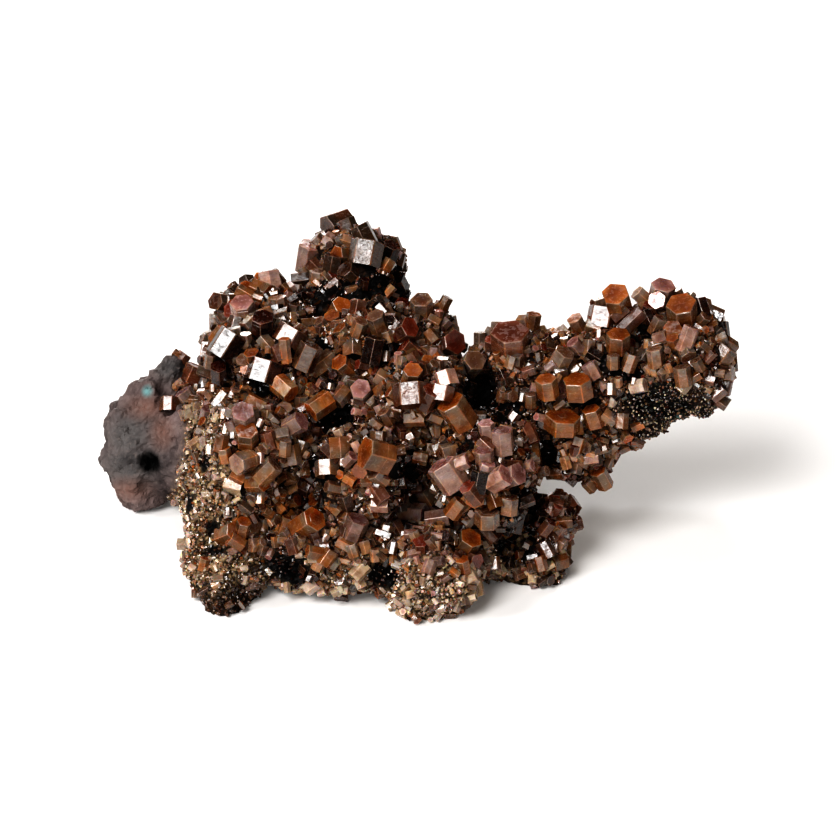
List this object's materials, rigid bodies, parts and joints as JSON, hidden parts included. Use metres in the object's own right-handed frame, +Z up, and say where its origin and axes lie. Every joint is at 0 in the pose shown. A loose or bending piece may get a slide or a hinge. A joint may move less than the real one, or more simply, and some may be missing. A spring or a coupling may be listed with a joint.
{
  "type": "vanadinite on matrix",
  "caption": "Mineral specimen: stubby six-sided red-brown vanadinite crystals crusting a lumpy dark rock with an arm, a knob behind and a bare lump; it rests on flat feet.",
  "frame": {"origin": "on the ground, under the middle of the specimen's box", "axes": "+Z up; +X along the specimen's length, from the bare lump to the tip of the arm; -Y is the show side"},
  "size_m": [0.0647, 0.0419, 0.0281],
  "materials": {
    "rock": "rough dark iron and manganese rock, crusted with sugary red-brown microcrystals",
    "vanadinite": "glossy red-brown to orange crystal faces with pale worn edges"
  },
  "bodies": {
    "root": {"crystals_arm_1": "vanadinite", "crystals_arm_10": "vanadinite", "crystals_arm_2": "vanadinite", "crystals_arm_3": "vanadinite", "crystals_arm_4": "vanadinite", "crystals_arm_5": "vanadinite", "crystals_arm_6": "vanadinite", "crystals_arm_7": "vanadinite", "crystals_arm_8": "vanadinite", "crystals_arm_9": "vanadinite", "crystals_back_1": "vanadinite", "crystals_back_10": "vanadinite", "crystals_back_11": "vanadinite", "crystals_back_12": "vanadinite", "crystals_back_2": "vanadinite", "crystals_back_3": "vanadinite", "crystals_back_4": "vanadinite", "crystals_back_5": "vanadinite", "crystals_back_6": "vanadinite", "crystals_back_7": "vanadinite", "crystals_back_8": "vanadinite", "crystals_back_9": "vanadinite", "crystals_centre_1": "vanadinite", "crystals_centre_2": "vanadinite", "crystals_centre_3": "vanadinite", "crystals_centre_4": "vanadinite", "crystals_knob_1": "vanadinite", "crystals_knob_2": "vanadinite", "crystals_knob_3": "vanadinite", "crystals_left_1": "vanadinite", "crystals_left_crest_1": "vanadinite", "crystals_left_crest_2": "vanadinite", "crystals_left_crest_3": "vanadinite", "crystals_left_crest_4": "vanadinite", "crystals_left_crest_5": "vanadinite", "crystals_left_crest_6": "vanadinite", "crystals_left_crest_7": "vanadinite", "crystals_middle_1": "vanadinite", "crystals_middle_2": "vanadinite", "crystals_middle_3": "vanadinite", "crystals_middle_4": "vanadinite", "crystals_middle_crest_1": "vanadinite", "crystals_middle_crest_2": "vanadinite", "crystals_middle_crest_3": "vanadinite", "crystals_right_1": "vanadinite", "crystals_right_2": "vanadinite", "crystals_right_3": "vanadinite", "crystals_right_4": "vanadinite", "matrix": "rock"}
  },
  "joints": []
}
